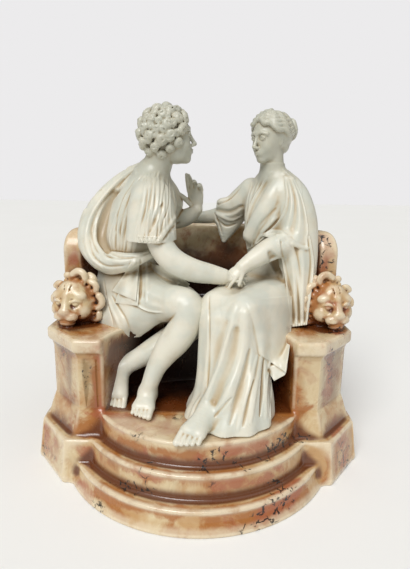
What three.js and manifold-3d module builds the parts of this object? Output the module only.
// A porcelain group of a young couple seated on a marble exedra, a half-round bench with three curved steps.
// Millimetres, +Z up. The viewer stands on the -Y side and +X is to the viewer's right. The origin lies on
// the underside, on the middle plane of the bench, at the centre of the bottom step's arc.
import * as THREE from "three";
import { mergeVertices } from "three/addons/utils/BufferGeometryUtils.js";
import Module from "manifold-3d";

const wasm = await Module();
wasm.setup();

// Driving sizes of the bench
const STEPS = [
  { top: 18.9, bottom: 0, edge: 121.1, foot: 125, centreY: 0 },
  { top: 38.6, bottom: 15, edge: 112, foot: 113.5, centreY: 5 },
  { top: 58.9, bottom: 35, edge: 102.9, foot: 104.5, centreY: 9 },
];
const PLATFORM = STEPS[2].top;
const PLINTH = { frontY: -59, inner: 88.6, outer: 115, corner: [145, -21], radius: 147, centreY: -5 };
const PLINTH_TOP = STEPS[1].top;
const PLINTH_FLARE = 5;
const BODY = { frontY: -45, inner: 83, outer: 105, corner: [136, -10], radius: 136, centreY: -5 };
const PIER_FOOT = { top: 54, grow: 3 };
const CAP = { bottom: 115, grow: 4.5 };
const SEAT = 126;
const NICHE = { radius: 84, centreY: -62 };
const WALL = { top: 212, thickness: 19, endY: 20, shoulder: 22 };
const LION = { reach: [117, 123], y: 1, z: 146, turn: 20 };

// Head centres of the two figures, and the clear gap between them and the bench
const MAN_HEAD = [-27, 22, 298];
const WOMAN_HEAD = [66, 46, 299];
const GAP = 0.35;

// Facets round each arc, across each limb and along each stretch of it
const ARC_STEPS = 14;
const LIMB_SIDES = 7;
const LIMB_GRAIN = 1.5;

const vec = (p) => new THREE.Vector3(...p);

// Closed geometry as a solid, turned so that its faces point out.
function solidOf(geometry) {
  const bare = new THREE.BufferGeometry().setAttribute("position", geometry.getAttribute("position"));
  bare.setIndex(geometry.index);
  const merged = mergeVertices(bare, 1e-3);
  const vertProperties = merged.attributes.position.array;
  const build = (triVerts) => new wasm.Manifold(new wasm.Mesh({ numProp: 3, vertProperties, triVerts }));
  const triangles = new Uint32Array(merged.index.array);
  const solid = build(triangles);
  return solid.volume() > 0 ? solid : build(triangles.reverse());
}

const join = (solids) => solids.reduce((whole, solid) => whole.add(solid));

// A solid between two or more outlines that have the same number of points, with flat ends.
function skin(rings) {
  const count = rings[0].length;
  const points = rings.flat();
  const faces = [];
  for (let r = 0; r + 1 < rings.length; r++) {
    for (let i = 0; i < count; i++) {
      const a = r * count + i;
      const b = r * count + ((i + 1) % count);
      faces.push(a, b, b + count, a, b + count, a + count);
    }
  }
  for (const [start, turn] of [[0, true], [(rings.length - 1) * count, false]]) {
    const flat = points.slice(start, start + count);
    const middle = flat.reduce((sum, p) => sum.add(p), new THREE.Vector3()).divideScalar(count);
    const hub = points.push(middle) - 1;
    for (let i = 0; i < count; i++) {
      const a = start + i;
      const b = start + ((i + 1) % count);
      faces.push(...(turn ? [b, a, hub] : [a, b, hub]));
    }
  }
  const geometry = new THREE.BufferGeometry().setFromPoints(points);
  geometry.setIndex(faces);
  return solidOf(geometry);
}

function prism(shape, low, high) {
  const geometry = new THREE.ExtrudeGeometry(shape, {
    depth: high - low, bevelEnabled: false, curveSegments: ARC_STEPS,
  });
  return solidOf(geometry.translate(0, 0, low));
}

// The bench's plan outline, two front piers with oblique outer sides, joined round the back by an arc.
function benchPlan({ frontY, inner, outer, corner: [cornerX, cornerY], radius, centreY }, grow) {
  const shape = new THREE.Shape();
  const reach = radius + grow;
  const start = Math.asin((cornerY - centreY) / reach);
  shape.moveTo(-(outer + grow), frontY - grow);
  shape.lineTo(-(inner - grow / 3), frontY - grow);
  shape.lineTo(inner - grow / 3, frontY - grow);
  shape.lineTo(outer + grow, frontY - grow);
  shape.lineTo(cornerX + grow * 0.8, cornerY - grow * 0.6);
  shape.absarc(0, centreY, reach, start, Math.PI - start, false);
  shape.lineTo(-(cornerX + grow * 0.8), cornerY - grow * 0.6);
  return shape;
}

// A solid whose plan follows one outline, grown by its own amount at each height.
function stack(outline, levels) {
  return skin(levels.map(([grow, z]) =>
    benchPlan(outline, grow).extractPoints(ARC_STEPS).shape.map((p) => new THREE.Vector3(p.x, p.y, z))));
}

// The open room over the platform, between the piers and in front of the seat.
function niche(clear) {
  const shape = new THREE.Shape();
  const reach = NICHE.radius - clear;
  shape.moveTo(-reach, -140);
  shape.lineTo(reach, -140);
  shape.lineTo(reach, NICHE.centreY);
  shape.absarc(0, NICHE.centreY, reach, 0, Math.PI, false);
  return prism(shape, PLATFORM + clear, SEAT + 20);
}

function steps(clear) {
  return STEPS.map(({ top, bottom, edge, foot, centreY }) => {
    const drum = new THREE.CylinderGeometry(edge + clear, foot + clear, top - bottom + clear, 48);
    drum.rotateX(Math.PI / 2);
    return solidOf(drum.translate(0, centreY, (top + bottom + clear) / 2));
  });
}

function plinth() {
  return stack(PLINTH, [[PLINTH_FLARE, 0], [PLINTH_FLARE, 4], [0, PLINTH_TOP]]);
}

// The seat, with the piers' sloping feet and the cap moulding that runs round it.
function seatBody(clear) {
  return stack(BODY, [
    [PIER_FOOT.grow * 3, PLINTH_TOP - 4],
    [PIER_FOOT.grow, PIER_FOOT.top],
    [0, PIER_FOOT.top + 8],
    [0, CAP.bottom - 3],
    [CAP.grow, CAP.bottom],
    [CAP.grow, SEAT + clear - 1.2],
    [CAP.grow - 1.2, SEAT + clear],
  ]);
}

// The bench's back, a half-round wall whose top is rounded off at both ends.
function backWall(clear) {
  const plan = new THREE.Shape();
  const outer = BODY.radius;
  const inner = outer - WALL.thickness - clear;
  const rise = WALL.endY - BODY.centreY;
  const outerStart = Math.asin(rise / outer);
  const innerStart = Math.asin(rise / inner);
  plan.absarc(0, BODY.centreY, outer, outerStart, Math.PI - outerStart, false);
  plan.absarc(0, BODY.centreY, inner, Math.PI - innerStart, innerStart, true);
  const half = Math.cos(outerStart) * outer;
  const front = new THREE.Shape();
  front.moveTo(-half, 0);
  front.lineTo(half, 0);
  const level = WALL.top + clear - WALL.shoulder;
  front.absarc(half - WALL.shoulder, level, WALL.shoulder, 0, Math.PI / 2, false);
  front.absarc(WALL.shoulder - half, level, WALL.shoulder, Math.PI / 2, Math.PI, false);
  const sweep = new THREE.ExtrudeGeometry(front, { depth: 200, bevelEnabled: false, curveSegments: 4 });
  sweep.rotateX(Math.PI / 2);
  return prism(plan, SEAT - 2, WALL.top + clear).intersect(solidOf(sweep.translate(0, 190, 0)));
}

// A ball stretched to three half sizes, turned about Z by an angle in degrees.
function ball(centre, halves, turn = 0) {
  const geometry = new THREE.SphereGeometry(1, 8, 5);
  geometry.rotateX(Math.PI / 2);
  geometry.scale(...halves);
  geometry.rotateZ(THREE.MathUtils.degToRad(turn));
  return solidOf(geometry.translate(...centre));
}

// A mass of curls, a stretched ball whose facets swell and dip in turn.
function curls(centre, halves, turn = 0, [round, high] = [16, 8], swell = 0.13) {
  const geometry = new THREE.SphereGeometry(1, round, high);
  geometry.rotateX(Math.PI / 2);
  const points = geometry.getAttribute("position");
  for (let i = 0; i < points.count; i++) {
    const p = new THREE.Vector3().fromBufferAttribute(points, i);
    const across = Math.cos((Math.atan2(p.y, p.x) * round) / 2);
    const down = Math.cos(Math.acos(THREE.MathUtils.clamp(p.z, -1, 1)) * high);
    p.multiplyScalar(1 + swell * across * down * Math.hypot(p.x, p.y));
    points.setXYZ(i, p.x, p.y, p.z);
  }
  geometry.scale(...halves);
  geometry.rotateZ(THREE.MathUtils.degToRad(turn));
  return solidOf(geometry.translate(...centre));
}

// A limb, roll of cloth or trunk, a closed tube through stations of x, y, z, half width and half depth. The
// width lies along the direction named in side, and tip sets how far each end rounds out past its station.
function limb(stations, { side = [0, 1, 0], sides = LIMB_SIDES, folds = 0, depth = 0, tip = [1, 1] } = {}) {
  const path = new THREE.CatmullRomCurve3(stations.map((s) => vec(s.slice(0, 3))));
  const halves = stations.map(([, , , across, deep = across]) => vec([across, deep, 0]));
  const sizes = new THREE.CatmullRomCurve3(halves);
  const total = Math.round((stations.length - 1) * LIMB_GRAIN);
  const ringAt = (t, shrink, shift) => {
    const middle = path.getPoint(t);
    const along = path.getTangent(t);
    const depthAxis = new THREE.Vector3().crossVectors(along, vec(side)).normalize();
    const widthAxis = new THREE.Vector3().crossVectors(depthAxis, along).normalize();
    const { x: across, y: deep } = sizes.getPoint(t);
    middle.addScaledVector(along, shift * Math.min(across, deep));
    return Array.from({ length: sides }, (_, i) => {
      const angle = (i / sides) * 2 * Math.PI;
      const swell = shrink * (1 + depth * Math.cos(folds * angle));
      return middle.clone()
        .addScaledVector(widthAxis, across * swell * Math.cos(angle))
        .addScaledVector(depthAxis, deep * swell * Math.sin(angle));
    });
  };
  const rings = Array.from({ length: total + 1 }, (_, k) => ringAt(k / total, 1, 0));
  rings.unshift(ringAt(0, 0.6, -0.8 * tip[0]));
  rings.push(ringAt(1, 0.6, 0.8 * tip[1]));
  return skin(rings);
}

// Hanging cloth, a bell of folds through level outlines. Turn is the angle of its long axis, and tilt lifts
// the outline towards that axis.
function bell(levels, { turn = 0, folds = 6, sides = 18 } = {}) {
  const turned = THREE.MathUtils.degToRad(turn);
  return skin(levels.map(({ z, centre: [x, y], halves: [long, short], fold = 0, tilt = 0 }) =>
    Array.from({ length: sides }, (_, i) => {
      const angle = (i / sides) * 2 * Math.PI;
      const swell = 1 + fold * Math.cos(folds * angle);
      const u = long * swell * Math.cos(angle);
      const v = short * swell * Math.sin(angle);
      return new THREE.Vector3(
        x + u * Math.cos(turned) - v * Math.sin(turned),
        y + u * Math.sin(turned) + v * Math.cos(turned),
        z + tilt * u,
      );
    })));
}

// A lion's head on the end of the seat, looking forwards and outwards, on the left (-1) or the right (1).
function lion(side, swell) {
  const head = join([
    curls([0, 3, 1], [25, 16, 24], 0, [14, 8], 0.16),
    ball([0, -9, 6], [15, 12, 11]),
    ball([0, -18, -8], [9, 9, 11]),
    ball([0, -10, -3], [17, 10, 10]),
    ball([0, 5, -13], [22, 16, 8]),
  ]);
  const reach = LION.reach[side < 0 ? 0 : 1];
  const turned = head.scale([swell, swell, swell]).rotate([0, 0, side * LION.turn]);
  return turned.translate([side * reach, LION.y, LION.z]);
}

// The man's head in profile, with a thick cap of round curls, and his neck.
function manHead() {
  const [x, y, z] = MAN_HEAD;
  return join([
    curls([x - 6, y, z + 3], [24, 22, 25]),
    ball([x + 5, y, z - 5], [14, 12.5, 18]),
    ball([x + 18.5, y, z - 4], [3.6, 3, 4.5]),
    ball([x + 10, y, z - 18], [7, 7, 5]),
    limb([[x - 17, y + 9, z - 44, 14], [x - 10, y + 4, z - 29, 11], [x - 5, y, z - 14, 11.5]]),
  ]);
}

// The man's body, with its tunic drawn in under the mantle.
function manBody() {
  const cloth = { sides: 15, folds: 5, depth: 0.05 };
  return join([
    limb([
      [-80, 42, 143, 38, 29], [-72, 38, 175, 29, 26], [-62, 35, 205, 32, 31], [-54, 33, 232, 36, 29],
      [-48, 32, 252, 32, 17], [-44, 30, 262, 16, 11],
    ], cloth),
    bell([
      { z: 174, centre: [-76, 38], halves: [28, 26], fold: 0.02 },
      { z: 160, centre: [-62, 26], halves: [44, 29], fold: 0.03 },
      { z: 148, centre: [-60, 20], halves: [50, 30], fold: 0.04 },
      { z: 134, centre: [-64, 18], halves: [46, 31], fold: 0.05, tilt: 0.12 },
      { z: 120, centre: [-70, 16], halves: [36, 29], fold: 0.06, tilt: 0.14 },
    ], { turn: -43 }),
    limb([[-48, 6, 248, 14], [-46, -2, 230, 16, 19], [-43, -6, 209, 16, 22]], { ...cloth, tip: [1, 0.1] }),
  ]);
}

function manArms() {
  return join([
    limb([
      [-46, 2, 238, 10], [-36, -8, 208, 10.5], [-26, -13, 186, 10], [-4, -13, 177, 9], [20, -12, 170, 6.5],
    ]),
    limb([[20, -12, 170, 7, 5.5], [30, -12, 170, 9, 5.5], [40, -11, 172, 6, 4.5]]),
    limb([[-40, 64, 244, 14], [-30, 74, 222, 10.5], [-14, 70, 220, 8.5], [-2, 64, 230, 6]]),
    limb([[-2, 64, 231, 6, 5], [-3, 62, 244, 10, 4.5], [-2, 60, 254, 9, 4]], { side: [1, 0, 0] }),
    limb([[-10, 62, 244, 2.8], [-16, 60, 253, 2.3]], { sides: 6 }),
    limb([[-9, 61, 254, 2.7], [-12, 60, 266, 2.3]], { sides: 6 }),
  ]);
}

function manLegs() {
  const side = [0.6, 0.7, -0.4];
  return join([
    limb([
      [-74, 24, 145, 18], [-42, 0, 147, 17.5], [-11, -25, 149, 14], [-21, -28, 124, 13],
      [-36, -33, 98, 9.5], [-45, -35, 78, 7.6],
    ], { side }),
    limb([
      [-58, 50, 144, 18], [-26, 28, 139, 16], [4, 6, 134, 12.5], [-24, -4, 114, 12.5],
      [-52, -10, 98, 9], [-73, -14, 87, 7.6],
    ], { side }),
    limb([[-46, -28, 68, 7.5, 7.5], [-47, -43, 68, 9, 8.5], [-49, -60, 64, 10, 5.2]], { side: [1, 0, 0] }),
    limb([[-75, -14, 86, 7, 7], [-75, -25, 75, 9, 7], [-75, -37, 65, 9.5, 5.5]], { side: [1, 0, 0] }),
  ]);
}

// The mantle that loops down behind the man and comes round his waist, and its hanging corner.
function manMantle() {
  return join([
    limb([
      [-52, 36, 268, 8, 6], [-76, 42, 250, 15, 9], [-96, 40, 224, 20, 13], [-102, 28, 196, 21, 14],
      [-88, 10, 180, 15, 11], [-64, 0, 184, 10, 9],
    ], { sides: 10 }),
    limb([[-76, -8, 174, 5, 9], [-76, -14, 158, 4, 9]], { sides: 6, tip: [1, 0.4] }),
  ]);
}

// The woman's head, with waved hair and a knot of curls behind, and her neck.
function womanHead() {
  const [x, y, z] = WOMAN_HEAD;
  const turn = 38;
  return join([
    curls([x + 3, y + 2, z + 5], [21, 20, 22], turn, [16, 8], 0.06),
    ball([x - 4, y - 4, z - 5], [13.5, 13, 18], turn),
    ball([x - 14.5, y - 12, z - 4], [3.4, 3, 4], turn),
    ball([x - 7, y - 6, z - 18], [6.5, 6.5, 5], turn),
    ball([x + 14, y + 8, z - 7], [10, 10, 10]),
    curls([x + 25, y + 14, z + 9], [9.5, 9, 11], turn, [8, 6]),
    limb([[x + 5, y + 6, z - 42, 13], [x + 4, y + 3, z - 28, 10], [x + 1, y + 1, z - 12, 10.5]]),
  ]);
}

// The woman's body and lap, and the gown that falls from her knees to the platform.
function womanBody() {
  const across = [-0.7, 0.7, 0];
  const lapSide = [0, 0, 1];
  return join([
    limb([
      [74, 44, 144, 36, 28], [73, 45, 168, 29, 24], [72, 47, 186, 26, 21], [71, 50, 214, 29, 24],
      [71, 53, 240, 29, 17], [70, 53, 256, 14, 11],
    ], { side: across, sides: 15, folds: 5, depth: 0.05 }),
    limb([[60, 52, 144, 20], [36, 12, 148, 19], [14, -24, 149, 14.5]], { side: lapSide }),
    limb([[80, 34, 144, 22], [60, -6, 148, 20], [36, -40, 149, 16]], { side: lapSide }),
    bell([
      { z: 160, centre: [26, -30], halves: [18, 12] },
      { z: 148, centre: [29, -30], halves: [29, 24] },
      { z: 120, centre: [30, -32], halves: [31, 29], fold: 0.02 },
      { z: 96, centre: [31, -38], halves: [32, 34], fold: 0.035 },
      { z: 76, centre: [30, -42], halves: [35, 39], fold: 0.05 },
      { z: 64, centre: [27, -44], halves: [39, 43], fold: 0.06 },
      { z: PLATFORM, centre: [27, -44], halves: [39, 43], fold: 0.06 },
    ], { folds: 9, sides: 27 }),
    bell([
      { z: 168, centre: [64, 12], halves: [34, 16] },
      { z: 150, centre: [58, -2], halves: [48, 23], fold: 0.02 },
      { z: 128, centre: [56, -10], halves: [44, 26], fold: 0.03 },
      { z: 108, centre: [56, -20], halves: [33, 23], fold: 0.04, tilt: 0.1 },
    ], { turn: 58 }),
    limb([[14, -62, 67, 8, 8], [2, -78, 66, 9.5, 7], [-10, -94, 62, 9.5, 5]], { side: [0.8, -0.6, 0] }),
  ]);
}

function womanArms() {
  return join([
    limb([[54, 74, 248, 14], [38, 84, 232, 15], [24, 88, 222, 14, 12]]),
    limb([[28, 84, 222, 9, 13], [28, 84, 206, 7, 9], [28, 82, 192, 4, 4]]),
    limb([[40, 84, 232, 9], [12, 92, 222, 8], [-10, 96, 219, 6]]),
    limb([[90, 34, 246, 13], [86, 22, 222, 12], [76, 12, 200, 11], [58, 2, 192, 9.5], [40, -6, 184, 6]]),
    limb([[40, -6, 184, 7, 5], [31, -9, 177, 8.5, 5.5], [26, -10, 171, 6, 4.5]]),
  ]);
}

// The woman's himation, over the left shoulder, across the breast, and down beside the hip.
function himation() {
  return join([
    limb([
      [80, 40, 256, 17, 11], [89, 30, 234, 18, 14], [92, 24, 208, 20, 15.5], [92, 18, 182, 20, 16],
      [92, 10, 156, 15, 13], [94, 4, 132, 9, 8],
    ], { sides: 12, folds: 4, depth: 0.05, tip: [1, 0.5] }),
    limb([
      [80, 38, 256, 9, 6], [68, 34, 240, 9, 7], [56, 34, 220, 9, 7], [48, 38, 202, 8, 6],
    ], { side: [0.5, 0, 0.8] }),
  ]);
}

// The bench in one solid. With clear it comes out larger by that much wherever the couple meets it.
function benchSolid(clear = 0) {
  const shell = join([plinth(), seatBody(clear)]).subtract(niche(clear));
  return join([shell, ...steps(clear), backWall(clear), lion(-1, 1 + clear / 25), lion(1, 1 + clear / 25)]);
}

// The couple sits on and against the bench, a hair clear of it all round.
function coupleSolid() {
  const figures = join([
    manHead(), manBody(), manArms(), manLegs(), manMantle(),
    womanHead(), womanBody(), womanArms(), himation(),
  ]);
  return figures.subtract(benchSolid(GAP)).decompose().sort((a, b) => b.volume() - a.volume())[0];
}

function meshOf(name, solid, color, roughness) {
  const { numProp, vertProperties, triVerts, numVert } = solid.getMesh();
  const points = new Float32Array(numVert * 3);
  for (let i = 0; i < numVert; i++) points.set(vertProperties.subarray(i * numProp, i * numProp + 3), i * 3);
  const geometry = new THREE.BufferGeometry();
  geometry.setAttribute("position", new THREE.BufferAttribute(points, 3));
  geometry.setIndex(new THREE.BufferAttribute(triVerts, 1));
  const mesh = new THREE.Mesh(geometry, new THREE.MeshStandardMaterial({ color, roughness, metalness: 0 }));
  mesh.name = name;
  return mesh;
}

const group = new THREE.Group();
group.add(meshOf("exedra_bench", benchSolid(), 0xd8b48c, 0.3));
group.add(meshOf("seated_couple", coupleSolid(), 0xdcd8c8, 0.4));
export default group;
